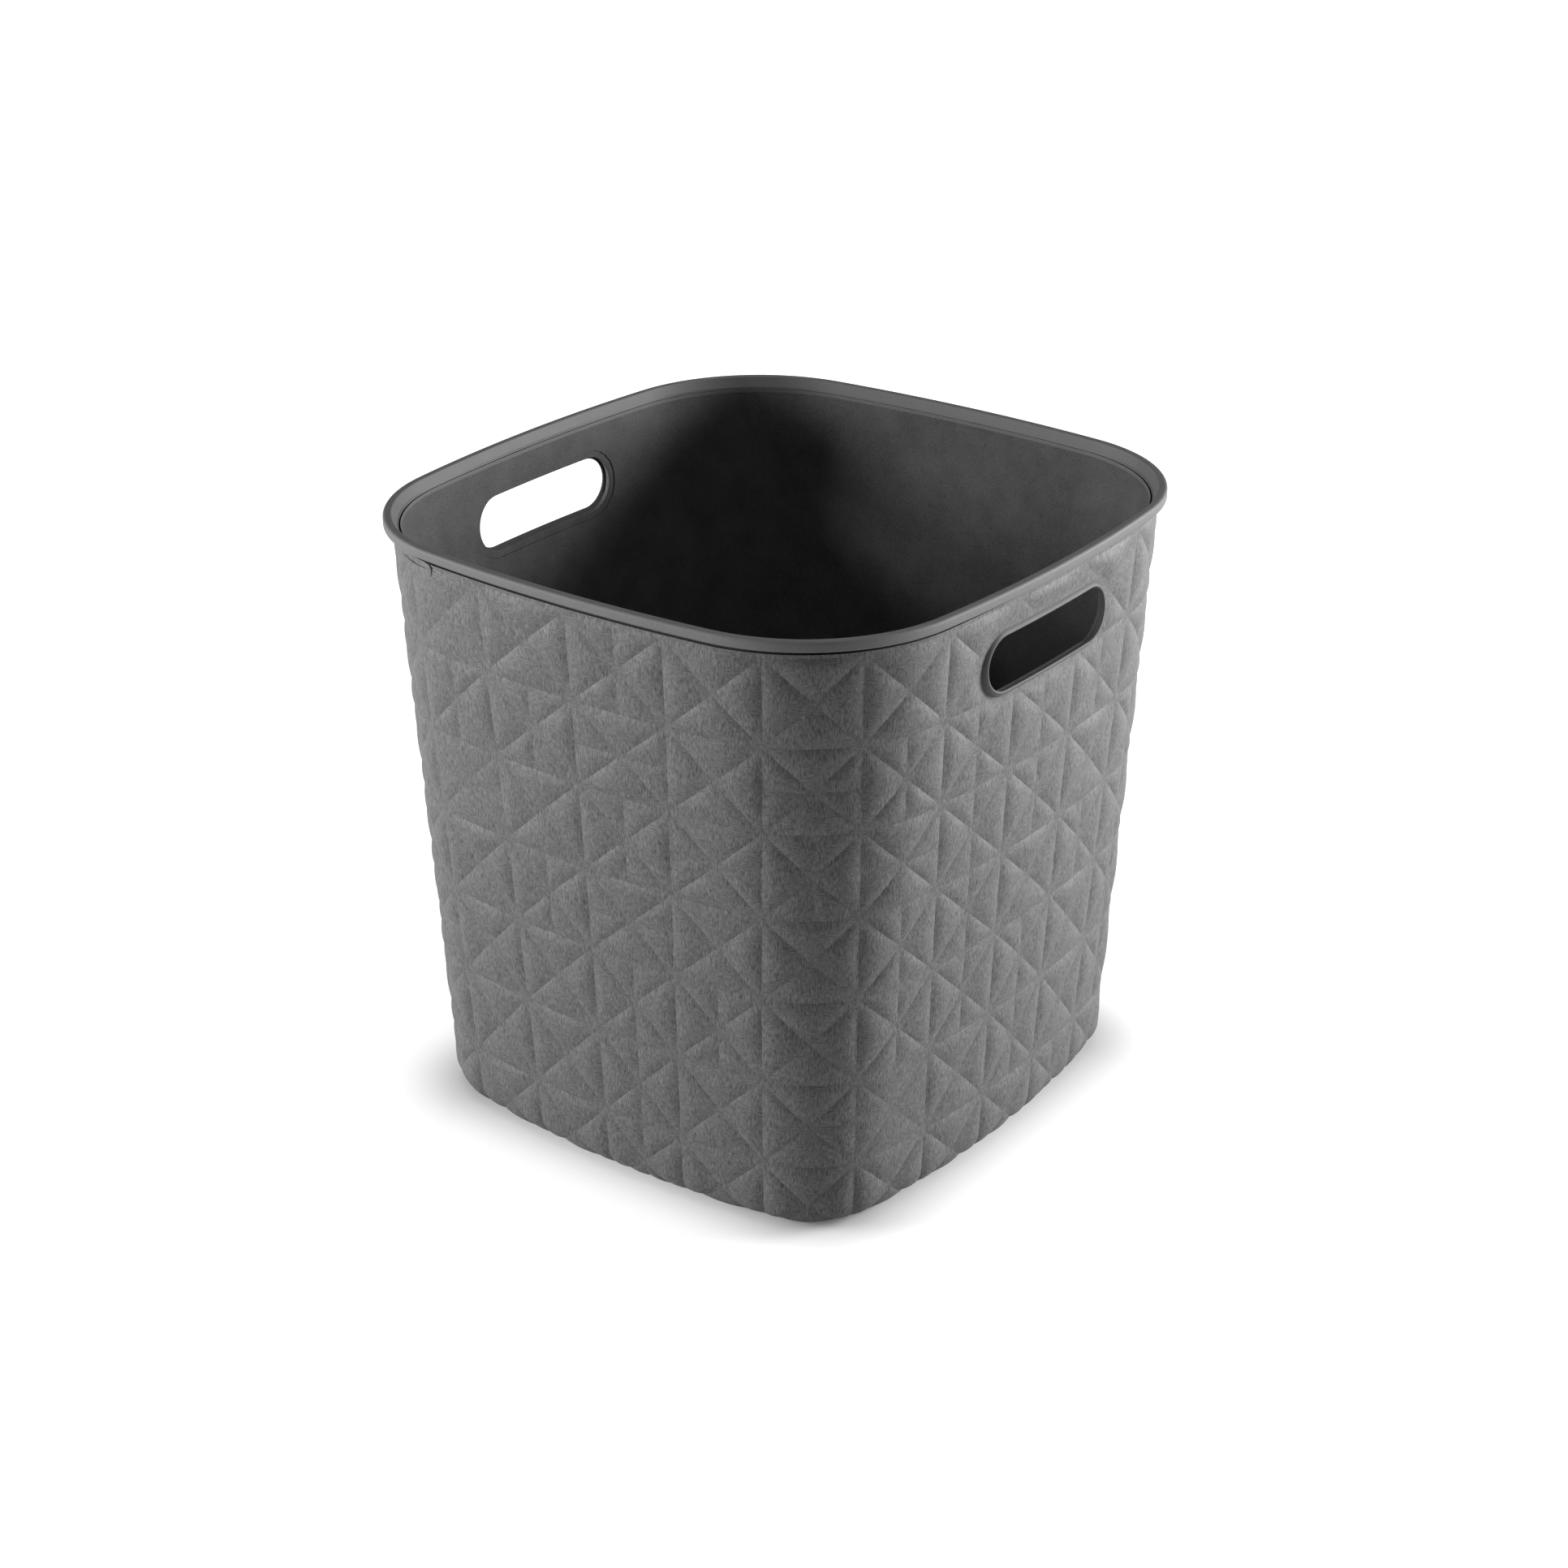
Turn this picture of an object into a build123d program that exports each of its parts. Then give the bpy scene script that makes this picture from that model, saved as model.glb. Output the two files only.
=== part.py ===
from build123d import *
import os
from math import hypot

# ---------------------------------------------------------------- driving dimensions, mm
# The bin stands on z = 0 with the middle of its base at the origin. The two walls with
# hand slots face +X and -X, and the two plain walls face +Y and -Y.
HEIGHT = 270.0

RIM_HALF_X = 139.4          # outer lip, at the middle of each side
RIM_HALF_Y = 142.7
RIM_SIDE_R = 687.0          # every side bows outwards on this radius
RIM_CORNER_R = 72.5
RIM_TOP_WIDTH = 3.7
RIM_LIP_HEIGHT = 3.8
RIM_EDGE_R = 1.3
RIM_UNDER_R = 0.5
RIM_INNER_R = 0.6

WALL_TOP_Z = 265.0          # the rim band sits on the walls here
TOP_HALF_X = 135.9          # outer face of the quilted shell, at the top of the wall
TOP_HALF_Y = 140.1
TOP_SIDE_R_X = 820.0        # the walls with hand slots are a little flatter
TOP_SIDE_R_Y = 687.0
TOP_CORNER_R = 73.6
BASE_HALF_X = 119.6         # the same face, produced down to the floor
BASE_HALF_Y = 122.4
BASE_SIDE_R = 462.0
BASE_CORNER_R = 39.0
BASE_FILLET = 11.6          # the wall rolls under the base on this radius

SHELL = 1.6                 # quilted outer shell
TUB = 1.6                   # smooth inner tub
TUB_FLOOR = 2.4
FOOT_RING = 12.0            # flat foot that the shell turns under the base

SLOT_Z = 237.0              # middle of each hand slot
SLOT_LENGTH = 87.0
SLOT_HEIGHT = 25.0
SLEEVE = 1.6                # wall of the sleeve that lines the slot
BEAD_WIDTH = 2.8            # raised bead round the slot, from the opening outwards
BEAD_PROUD = 1.6            # the bead follows the wall this far out
BEAD_EDGE_R = 1.1
TRIM_WIDTH = 3.2            # flat trim in a shallow recess round the slot, inside the bin
TRIM_THICKNESS = 0.8        # the rest of the tub's thickness is the recess

PLAQUE_X = (-97.0, -71.4)   # small blank plaque on the front wall, below the rim
PLAQUE_Z = (257.5, 264.6)
PLAQUE_PROUD = 0.5
PLAQUE_CORNER_R = 1.8

CLEAR = 20.0                # how far a cutting body runs past what it cuts


# ---------------------------------------------------------------- outlines and bodies
def bowed_square(half_x, half_y, side_r_x, side_r_y, corner_r, z):
    """Face at height z: four outward-bowed sides joined by tangent corner arcs."""
    bow_x = side_r_x - half_x           # centres of the side arcs, past the middle
    bow_y = side_r_y - half_y
    reach_x = side_r_x - corner_r       # from those centres to a corner arc's centre
    reach_y = side_r_y - corner_r
    apart = hypot(bow_x, bow_y)
    along = (reach_x**2 - reach_y**2 + apart**2) / (2 * apart)
    across = (reach_x**2 - along**2) ** 0.5
    ux, uy = bow_x / apart, -bow_y / apart
    cx = -bow_x + along * ux - across * uy
    cy = along * uy + across * ux
    # tangent points on the side arcs, and the corner arc's middle
    px = -bow_x + (cx + bow_x) * side_r_x / reach_x
    py = cy * side_r_x / reach_x
    qx = cx * side_r_y / reach_y
    qy = -bow_y + (cy + bow_y) * side_r_y / reach_y
    mid_x, mid_y = (px + qx) / 2 - cx, (py + qy) / 2 - cy
    mid = hypot(mid_x, mid_y)
    mx, my = cx + corner_r * mid_x / mid, cy + corner_r * mid_y / mid
    edges = [
        ThreePointArc((px, -py), (half_x, 0), (px, py)),
        ThreePointArc((px, py), (mx, my), (qx, qy)),
        ThreePointArc((qx, qy), (0, half_y), (-qx, qy)),
        ThreePointArc((-qx, qy), (-mx, my), (-px, py)),
        ThreePointArc((-px, py), (-half_x, 0), (-px, -py)),
        ThreePointArc((-px, -py), (-mx, -my), (-qx, -qy)),
        ThreePointArc((-qx, -qy), (0, -half_y), (qx, -qy)),
        ThreePointArc((qx, -qy), (mx, -my), (px, -py)),
    ]
    return Pos(0, 0, z) * make_face(edges)


def wall_outline(z, inset=0.0):
    """Outline of the wall at height z, moved inwards by inset."""
    t = z / WALL_TOP_Z

    def between(base, top):
        return base + (top - base) * t - inset

    return bowed_square(
        between(BASE_HALF_X, TOP_HALF_X),
        between(BASE_HALF_Y, TOP_HALF_Y),
        between(BASE_SIDE_R, TOP_SIDE_R_X),
        between(BASE_SIDE_R, TOP_SIDE_R_Y),
        between(BASE_CORNER_R, TOP_CORNER_R),
        z,
    )


def wall_body(inset, floor_z, top_z=WALL_TOP_Z):
    """Solid inside the wall face moved in by inset, with its bottom edge rolled under."""
    body = loft([wall_outline(floor_z, inset), wall_outline(top_z, inset)], ruled=True)
    bottom = body.faces().sort_by(Axis.Z)[0]
    return fillet(bottom.edges(), BASE_FILLET - inset)


def slot_bar(margin, x_from, x_to):
    """Bar with the slot's rounded outline, margin larger all round, along +X."""
    outline = SlotOverall(SLOT_LENGTH + 2 * margin, SLOT_HEIGHT + 2 * margin)
    plane = Plane(origin=(x_from, 0, SLOT_Z), x_dir=(0, 1, 0), z_dir=(1, 0, 0))
    return extrude(plane * outline, x_to - x_from)


def both_sides(solid):
    """The solid and its mirror image on the -X wall."""
    return solid, mirror(solid, about=Plane.YZ)


# ---------------------------------------------------------------- sub-parts
def make_handle(outer, inside):
    """Bead and sleeve that line the hand slot in the +X wall."""
    bar = slot_bar(BEAD_WIDTH, TOP_HALF_X - CLEAR, TOP_HALF_X + CLEAR)
    bead = bar & wall_body(-BEAD_PROUD, 0)
    bead = fillet(bead.faces().sort_by(Axis.X)[-1].edges(), BEAD_EDGE_R) - outer
    sleeve = (slot_bar(SLEEVE, TOP_HALF_X - CLEAR, TOP_HALF_X + CLEAR) & outer) - inside
    return bead + sleeve - slot_bar(0, TOP_HALF_X - 2 * CLEAR, TOP_HALF_X + CLEAR)


def make_trim(tub_outer, inside):
    """Flat trim against the shell, in the tub's recess round the sleeve."""
    ring = slot_bar(SLEEVE + TRIM_WIDTH, TOP_HALF_X - CLEAR, TOP_HALF_X)
    ring -= slot_bar(SLEEVE, TOP_HALF_X - 2 * CLEAR, TOP_HALF_X + CLEAR)
    return (ring & tub_outer) - inside


def make_shell(outer, tub_outer):
    """Quilted outer shell, open at the top and turned under the base as a foot ring."""
    shell = outer - tub_outer
    bottom = wall_outline(0, BASE_FILLET + FOOT_RING)
    shell -= Pos(0, 0, -SHELL) * extrude(bottom, 3 * SHELL)
    for bar in both_sides(slot_bar(SLEEVE, TOP_HALF_X - CLEAR, TOP_HALF_X + CLEAR)):
        shell -= bar
    return shell


def make_tub(tub_outer, cavity):
    """Smooth inner tub with the bin's floor and a recess round each hand slot."""
    tub = tub_outer - cavity
    for bar in both_sides(
        slot_bar(SLEEVE + TRIM_WIDTH, TOP_HALF_X - 2 * CLEAR, TOP_HALF_X + CLEAR)
    ):
        tub -= bar
    return tub


def make_rim():
    """Rolled rim: a lip that overhangs the wall, flared into the tub inside."""
    def rim_outline(z, inset=0.0):
        return bowed_square(
            RIM_HALF_X - inset,
            RIM_HALF_Y - inset,
            RIM_SIDE_R - inset,
            RIM_SIDE_R - inset,
            RIM_CORNER_R - inset,
            z,
        )

    lip = extrude(rim_outline(HEIGHT - RIM_LIP_HEIGHT), RIM_LIP_HEIGHT)
    lip = fillet(lip.faces().sort_by(Axis.Z)[-1].edges(), RIM_EDGE_R)
    lip = fillet(lip.faces().sort_by(Axis.Z)[0].edges(), RIM_UNDER_R)
    seat = extrude(wall_outline(WALL_TOP_Z), RIM_LIP_HEIGHT)
    mouth = loft(
        [wall_outline(WALL_TOP_Z, SHELL + TUB), rim_outline(HEIGHT, RIM_TOP_WIDTH)],
        ruled=True,
    )
    rim = lip + seat - mouth
    top = rim.faces().sort_by(Axis.Z)[-1]
    return fillet(top.inner_wires()[0].edges(), RIM_INNER_R)


def make_plaque(outer):
    """Blank raised plaque that follows the front wall."""
    width = PLAQUE_X[1] - PLAQUE_X[0]
    height = PLAQUE_Z[1] - PLAQUE_Z[0]
    middle = ((PLAQUE_X[0] + PLAQUE_X[1]) / 2, -TOP_HALF_Y - CLEAR, sum(PLAQUE_Z) / 2)
    plane = Plane(origin=middle, x_dir=(1, 0, 0), z_dir=(0, 1, 0))
    bar = extrude(plane * RectangleRounded(width, height, PLAQUE_CORNER_R), TOP_HALF_Y)
    return (bar & wall_body(-PLAQUE_PROUD, 0)) - outer


# ---------------------------------------------------------------- build and write
outer = wall_body(0, 0)
tub_outer = wall_body(SHELL, SHELL)
trim_face = wall_body(SHELL + TRIM_THICKNESS, SHELL)
cavity = wall_body(SHELL + TUB, SHELL + TUB_FLOOR, HEIGHT)

right_frame, left_frame = both_sides(make_handle(outer, trim_face))
right_trim, left_trim = both_sides(make_trim(tub_outer, trim_face))

parts = {
    "quilted_shell": make_shell(outer, tub_outer),
    "inner_tub": make_tub(tub_outer, cavity),
    "rim_band": make_rim(),
    "right_handle_frame": right_frame,
    "left_handle_frame": left_frame,
    "right_handle_trim": right_trim,
    "left_handle_trim": left_trim,
    "blank_plaque": make_plaque(outer),
}

os.makedirs("parts", exist_ok=True)
for name, solid in parts.items():
    export_step(solid, f"parts/{name}.step")
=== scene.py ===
import math

import bpy
import numpy as np
from mathutils import Matrix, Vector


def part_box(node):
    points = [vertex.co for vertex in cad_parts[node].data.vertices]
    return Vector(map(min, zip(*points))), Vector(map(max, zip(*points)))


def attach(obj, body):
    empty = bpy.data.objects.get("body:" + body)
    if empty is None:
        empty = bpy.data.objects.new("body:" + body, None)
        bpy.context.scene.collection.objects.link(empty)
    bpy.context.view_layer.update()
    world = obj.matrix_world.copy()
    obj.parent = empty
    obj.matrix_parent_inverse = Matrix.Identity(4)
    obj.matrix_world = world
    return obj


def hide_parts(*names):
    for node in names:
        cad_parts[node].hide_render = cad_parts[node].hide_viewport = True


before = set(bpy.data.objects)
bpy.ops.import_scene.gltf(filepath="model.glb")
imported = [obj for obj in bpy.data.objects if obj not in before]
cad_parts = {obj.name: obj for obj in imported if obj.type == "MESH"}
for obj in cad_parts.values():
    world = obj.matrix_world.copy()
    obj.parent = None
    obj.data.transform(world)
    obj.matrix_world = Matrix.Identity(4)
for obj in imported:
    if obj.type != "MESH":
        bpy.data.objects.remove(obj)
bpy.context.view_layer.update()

bl_info = {
    "name": "Quilted storage bin",
    "version": (1, 0, 0),
    "blender": (4, 5, 0),
    "location": "3D View > Sidebar > Bin",
    "description": "Builds the visible pieces of a moulded storage bin with a quilted outside",
    "category": "Object",
}

MM = 0.001
RIM_LOW, RIM_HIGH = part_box("rim_band")
FRAME_LOW, FRAME_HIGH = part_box("right_handle_frame")

# One character per cell of the quilting, one string per row from the rim down. The
# columns run clockwise seen from above and start at the middle of the +X side.
# x: cut by its diagonals, v and h: with an upright or a level mid-line as well,
# capital letters: the same, shallower.
QUILT_ROWS = (
    "xxxxxvxXvxxvxxxxvxhxxx",
    "vvvhxhvvxhvxvvhxxhvvxv",
    "vvhvhvxHvxxvhvxhvvxhvx",
    "xvvxxhvxxvhxvxvvxhvxvv",
    "vvvxvvxxhvxvvxvxvxxhvx",
    "vxHhxvxxvxvvxhxxvhvxvx",
    "xxxxxvxxvxxxvxxvxxvxxv",
)
SHALLOW = 0.45              # relief of a cell with a capital letter
COLUMNS = len(QUILT_ROWS[0])
SIDE_CELLS = COLUMNS / 4
FIRST_CELL = 14             # the mesh starts here, at a corner
ROW_LINES_MM = (261.6, 223.6, 186.5, 148.2, 110.6, 71.6, 31.5)
CELL_MM = 36.0              # width of a cell at mid height, for the grain
WIDENING_MM = (39, 224)     # heights between which the middle cells grow wider
FOOT_FADE_MM = 3.2          # below this height the relief dies out into the foot
LOOKS_AT_MM = (1.23, 0.93, 135.68)      # where the camera points
SHADOW_MM = (83, 39)        # the foot's outline on the floor: half its straight sides, its corners; the floor's glow fades out towards it, a painted soft shadow round the foot
LIGHTS_MM = ((0, 0, 120), 2000)         # where the softboxes point, and how far they stand
FACET_CROWN = 27            # brings the crown of a plain facet to 1
FACET_FULLNESS = 0.85       # below 1 the facets are flatter and their creases crisper


# ---------------------------------------------------------------- settings
def length(name, description, millimetres):
    """A length whose default is given in millimetres."""
    return bpy.props.FloatProperty(
        name=name,
        description=description,
        default=millimetres * MM,
        subtype="DISTANCE",
        unit="LENGTH",
        precision=4,
    )


def share(name, description, default):
    """A plain number between 0 and 1."""
    return bpy.props.FloatProperty(
        name=name, description=description, default=default, min=0, max=1, subtype="FACTOR"
    )


def power(name, description, watts):
    """Power of a light."""
    return bpy.props.FloatProperty(
        name=name, description=description + ", in W", default=watts, min=0
    )


def colour(name, description, grey):
    """A neutral colour whose default is one linear grey."""
    return bpy.props.FloatVectorProperty(
        name=name,
        description=description,
        default=(grey * 0.995, grey, grey * 0.997),
        min=0,
        max=1,
        size=3,
        subtype="COLOR",
    )


class BinSizes(bpy.types.PropertyGroup):
    """Sizes of the plain body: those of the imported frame, but for details of rim and gap."""

    wall_top: length("Wall top", "Height at which the rim sits on the walls", 265)
    top_half_x: length("Top half width", "Half width across the handles, wall top", 135.9)
    top_half_y: length("Top half depth", "Half depth across the plain sides, wall top", 140.1)
    top_bow_x: length("Top bow, handle sides", "Radius of the bowed sides with slots", 820)
    top_bow_y: length("Top bow, plain sides", "Radius of the bowed plain sides", 687)
    top_corner: length("Top corner", "Corner radius at the wall top", 73.6)
    base_half_x: length("Base half width", "Half width across the handles, on the floor", 119.6)
    base_half_y: length("Base half depth", "Half depth across the plain sides, floor", 122.4)
    base_bow: length("Base bow", "Radius of the bowed sides on the floor", 462)
    base_corner: length("Base corner", "Corner radius on the floor", 39)
    base_round: length("Base rounding", "Radius that rolls the wall under the base", 11.6)
    shell: length("Shell", "Thickness of the quilted shell", 1.6)
    tub: length("Tub", "Thickness of the smooth tub", 1.6)
    tub_floor: length("Tub floor", "Thickness of the tub's floor", 2.4)
    foot: length("Foot ring", "Width of the flat foot under the base", 12)
    rim_bow: length("Rim bow", "Radius of the rim's bowed sides", 687)
    rim_corner: length("Rim corner", "Corner radius of the rim", 72.5)
    rim_top: length("Rim top", "Width of the rim's top band", 3.7)
    rim_lip: length("Rim lip", "Height of the overhanging lip", 4.3)
    rim_flare: length("Rim flare", "How far the rim's flared inside reaches down the tub", 1.6)
    rim_round: length("Rim rounding", "Rounding of the lip's upper outer edge", 1.3)
    shell_top: length("Shell top", "Height at which the shell ends, below the rim's lip", 263.1)
    shell_bevel: length("Shell bevel", "Inward slope of the shell's top edge", 1.4)
    gap_back: length("Gap back", "How far in the tub stands behind the gap line", 2.6)


class SlotSizes(bpy.types.PropertyGroup):
    """Sizes of the hand slots and of the plaque."""

    across: length("Slot length", "Length of the opening", 87)
    tall: length("Slot height", "Height of the opening", 25)
    sleeve: length("Sleeve", "Wall of the sleeve that lines the slot", 1.6)
    lip: length("Lip", "How far the bead's lip narrows the opening", 1.0)
    lip_back: length("Lip back", "Depth at which the dark trim takes over from the lip", 1.0)
    bead: length("Bead", "From the opening to the bead's outer foot", 1.9)
    bead_proud: length("Bead proud", "Height of the bead over the wall at mid slot", 0.8)
    trim: length("Trim", "Width of the flat trim inside the bin", 1.6)
    trim_step: length("Trim step", "How deep the trim lies in the tub's face", 0.3)
    calm: length("Calm zone", "Width of the flattened quilting round a slot", 9)
    calm_dip: length("Calm dip", "How much lower the shell lies at the bead", 0.5)
    plaque_left: length("Plaque left", "Left end of the plaque, along X", -97)
    plaque_right: length("Plaque right", "Right end of the plaque, along X", -71.4)
    plaque_low: length("Plaque foot", "Lower edge of the plaque", 257.5)
    plaque_high: length("Plaque top", "Upper edge of the plaque", 263.0)
    plaque_proud: length("Plaque proud", "How far the plaque stands out of the wall", 0.1)


class QuiltSettings(bpy.types.PropertyGroup):
    """The relief of the quilted shell."""

    steps: bpy.props.IntProperty(
        name="Steps", description="Mesh steps along one cell", default=20, min=4, max=24
    )
    relief: length("Relief", "From a groove to the crown of a facet", 1.15)
    groove: length("Groove depth", "How far the grooves lie inside the wall face", 0.5)
    halved: share("Halved facets", "Relief of a facet that a mid-line halves", 0.6)
    widening: share("Widening", "How much wider the middle cells are at the top", 0.098)
    turn: bpy.props.FloatProperty(
        name="Turn", description="Shift of the whole pattern, in cells", default=-0.025
    )


class BinColours(bpy.types.PropertyGroup):
    """Linear colours of the four finishes."""

    shell: colour("Shell", "Quilted outside", 0.060)
    tub: colour("Tub", "Smooth inside", 0.052)
    rim: colour("Rim", "Satin rim", 0.078)
    bead: colour("Bead", "Satin frames of the hand slots", 0.044)
    floor: colour("Floor", "Plain stage", 0.38)


class StageSettings(bpy.types.PropertyGroup):
    """Camera and lights."""

    azimuth: bpy.props.FloatProperty(
        name="Azimuth", description="Camera direction round the bin, from the front, degrees",
        default=37.007,
    )
    elevation: bpy.props.FloatProperty(
        name="Elevation", description="Camera height above the horizon, degrees", default=25.141
    )
    roll: bpy.props.FloatProperty(
        name="Roll", description="Turn of the camera about its view", default=-0.003
    )
    distance: length("Distance", "From the camera to the point that it looks at", 1311.6)
    lens: bpy.props.FloatProperty(
        name="Lens", description="Focal length on a 36 mm sensor, in mm", default=69.075
    )
    left: power("Left light", "Softbox low on the left", 74)
    right: power("Right light", "Softbox low behind on the right", 106)
    high_right: power("High right light", "Softbox high on the right", 3)
    top: power("Top light", "Softbox overhead", 16)
    ambient: bpy.props.FloatProperty(
        name="Ambient", description="Strength of the even light from all round", default=0.02
    )
    glow: bpy.props.FloatProperty(
        name="Floor glow", description="Light that the floor gives near the bin", default=0.72
    )


# ---------------------------------------------------------------- node trees
class Wire:
    """One output of a node, which can be used in a Python expression."""

    def __init__(self, tree, socket):
        self.tree, self.socket = tree, socket

    def maths(self, operation, *values):
        return self.tree.make(
            "ShaderNodeMath", {"operation": operation}, dict(enumerate(values))
        )

    def __add__(self, other):
        return self.maths("ADD", self, other)

    def __radd__(self, other):
        return self.maths("ADD", other, self)

    def __sub__(self, other):
        return self.maths("SUBTRACT", self, other)

    def __rsub__(self, other):
        return self.maths("SUBTRACT", other, self)

    def __mul__(self, other):
        return self.maths("MULTIPLY", self, other)

    def __rmul__(self, other):
        return self.maths("MULTIPLY", other, self)

    def __truediv__(self, other):
        return self.maths("DIVIDE", self, other)

    def __rtruediv__(self, other):
        return self.maths("DIVIDE", other, self)

    def __lt__(self, other):
        return self.maths("LESS_THAN", self, other)

    def __gt__(self, other):
        return self.maths("GREATER_THAN", self, other)

    def __abs__(self):
        return self.maths("ABSOLUTE", self)

    def larger(self, other):
        return self.maths("MAXIMUM", self, other)

    def smaller(self, other):
        return self.maths("MINIMUM", self, other)

    def between(self, low, high):
        """0 below low, 1 above high, and smooth between them."""
        return self.tree.make(
            "ShaderNodeMapRange",
            {"interpolation_type": "SMOOTHSTEP"},
            {"Value": self, "From Min": low, "From Max": high},
        )


class Tree:
    """Adds nodes to one node tree."""

    def __init__(self, nodes):
        self.nodes = nodes
        nodes.nodes.clear()

    def make(self, kind, settings=(), sockets=(), output=0):
        """A new node with its settings and its input values or links; returns one output."""
        node = self.nodes.nodes.new(kind)
        node.location = (180 * (len(self.nodes.nodes) % 12), -220 * (len(self.nodes.nodes) // 12))
        for name, value in dict(settings).items():
            setattr(node, name, value)
        for name, value in dict(sockets).items():
            if isinstance(value, Wire):
                self.nodes.links.new(value.socket, node.inputs[name])
            else:
                node.inputs[name].default_value = value
        return Wire(self, node.outputs[output]) if len(node.outputs) else None


# ---------------------------------------------------------------- outlines
SIDE_STEPS = 24
CORNER_STEPS = 44


def bowed_square(half_x, half_y, bow_x, bow_y, corner):
    """Closed outline of four bowed sides and round corners, clockwise from above from +X."""
    back_x, back_y = bow_x - half_x, bow_y - half_y
    reach_x, reach_y = bow_x - corner, bow_y - corner
    apart = math.hypot(back_x, back_y)
    along = (reach_x**2 - reach_y**2 + apart**2) / (2 * apart)
    across = math.sqrt(reach_x**2 - along**2)
    unit_x, unit_y = back_x / apart, -back_y / apart
    centre_x = -back_x + along * unit_x - across * unit_y
    centre_y = along * unit_y + across * unit_x
    first = math.atan2(centre_y, centre_x + back_x)
    last = math.atan2(centre_y + back_y, centre_x)
    right = math.pi / 2

    def arc(x, y, radius, start, end, steps):
        turn = np.linspace(start, end, steps + 1)[:-1]
        return np.column_stack([x + radius * np.cos(turn), y + radius * np.sin(turn)])

    quarter = np.concatenate(
        [
            arc(-back_x, 0, bow_x, 0, first, SIDE_STEPS),
            arc(centre_x, centre_y, corner, first, last, CORNER_STEPS),
            arc(0, -back_y, bow_y, last, right, SIDE_STEPS),
            [[0, half_y]],
        ]
    )
    down = quarter * (1, -1)
    half = np.concatenate([down[:-1], (down * (-1, 1))[::-1][:-1]])
    return np.concatenate([half, -half])


def spaced(loop, shares):
    """Points of the closed loop at these shares of its length."""
    closed = np.concatenate([loop, loop[:1]])
    run = np.concatenate([[0], np.cumsum(np.hypot(*np.diff(closed, axis=0).T))])
    at = (np.asarray(shares) % 1.0) * run[-1]
    return np.column_stack([np.interp(at, run, closed[:, i]) for i in (0, 1)])


def wall_loop(z, inset=0.0):
    """Outline of the outer wall at height z, moved inwards by inset."""
    s = bpy.context.scene.bin_sizes
    base = bowed_square(
        s.base_half_x - inset,
        s.base_half_y - inset,
        s.base_bow - inset,
        s.base_bow - inset,
        s.base_corner - inset,
    )
    top = bowed_square(
        s.top_half_x - inset,
        s.top_half_y - inset,
        s.top_bow_x - inset,
        s.top_bow_y - inset,
        s.top_corner - inset,
    )
    return base + (top - base) * (z / s.wall_top)


def rim_loop(inset=0.0):
    """Outline of the rim's lip, moved inwards by inset."""
    s = bpy.context.scene.bin_sizes
    return bowed_square(
        (RIM_HIGH.x - RIM_LOW.x) / 2 - inset,
        (RIM_HIGH.y - RIM_LOW.y) / 2 - inset,
        s.rim_bow - inset,
        s.rim_bow - inset,
        s.rim_corner - inset,
    )


def wall_x(y, z):
    """Distance of the +X wall's face from the middle, at (y, z)."""
    s = bpy.context.scene.bin_sizes
    up = z / s.wall_top
    half = s.base_half_x + (s.top_half_x - s.base_half_x) * up
    bow = s.base_bow + (s.top_bow_x - s.base_bow) * up
    return half - bow + np.sqrt(bow**2 - y**2)


def wall_y(x, z):
    """Distance of the -Y wall's face from the middle, at (x, z), round the corners too."""
    loop = wall_loop(z)
    front = loop[loop[:, 1] < 0]
    front = front[np.argsort(front[:, 0])]
    return -np.interp(x, front[:, 0], front[:, 1])


def ring(loop, z, shares):
    """A ring of points at height z."""
    flat = spaced(loop, shares)
    return np.column_stack([flat, np.full(len(flat), z)])


def rounding(inset, z, radius, start, end, steps):
    """Points of an arc in a profile, as (inset, z) pairs; angles from outwards, upwards."""
    turn = np.radians(np.linspace(start, end, steps + 1))
    return [(inset - radius * math.cos(t), z + radius * math.sin(t)) for t in turn]


# ---------------------------------------------------------------- meshes and pieces
def band_faces(rings, columns, closed):
    """Quads between rings of points, the last joined to the first if closed."""
    last = rings if closed else rings - 1
    r, c = np.meshgrid(np.arange(last), np.arange(columns), indexing="ij")
    r, c = r.ravel(), c.ravel()
    below, beside = (r + 1) % rings, (c + 1) % columns
    return np.column_stack(
        [r * columns + c, r * columns + beside, below * columns + beside, below * columns + c]
    )


def mesh_of(name, points, faces):
    """A smooth-shaded mesh."""
    mesh = bpy.data.meshes.new(name)
    mesh.from_pydata([tuple(p) for p in points], [], [tuple(map(int, f)) for f in faces])
    mesh.shade_smooth()
    return mesh


def ring_mesh(name, rings, closed=False, poles=()):
    """Mesh over rings of points. Poles are a first and a last point that close it."""
    count, columns = len(rings), len(rings[0])
    points = np.concatenate(rings)
    faces = [tuple(f) for f in band_faces(count, columns, closed)]
    if len(poles):
        first, last = len(points), len(points) + 1
        points = np.concatenate([points, np.array(poles, float)])
        end = (count - 1) * columns
        for c in range(columns):
            beside = (c + 1) % columns
            faces.append((first, beside, c))
            faces.append((end + c, end + beside, last))
    return mesh_of(name, points, faces)


def add_piece(name, mesh):
    """An object at the origin with this mesh."""
    piece = bpy.data.objects.new(name, mesh)
    bpy.context.scene.collection.objects.link(piece)
    return piece


def settle(piece):
    """Replaces the piece's mesh by its evaluated one and clears its modifiers."""
    graph = bpy.context.evaluated_depsgraph_get()
    graph.update()
    made = bpy.data.meshes.new_from_object(
        piece.evaluated_get(graph), preserve_all_data_layers=True, depsgraph=graph
    )
    old = piece.data
    piece.modifiers.clear()
    piece.data = made
    bpy.data.meshes.remove(old)
    made.name = piece.name


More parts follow.
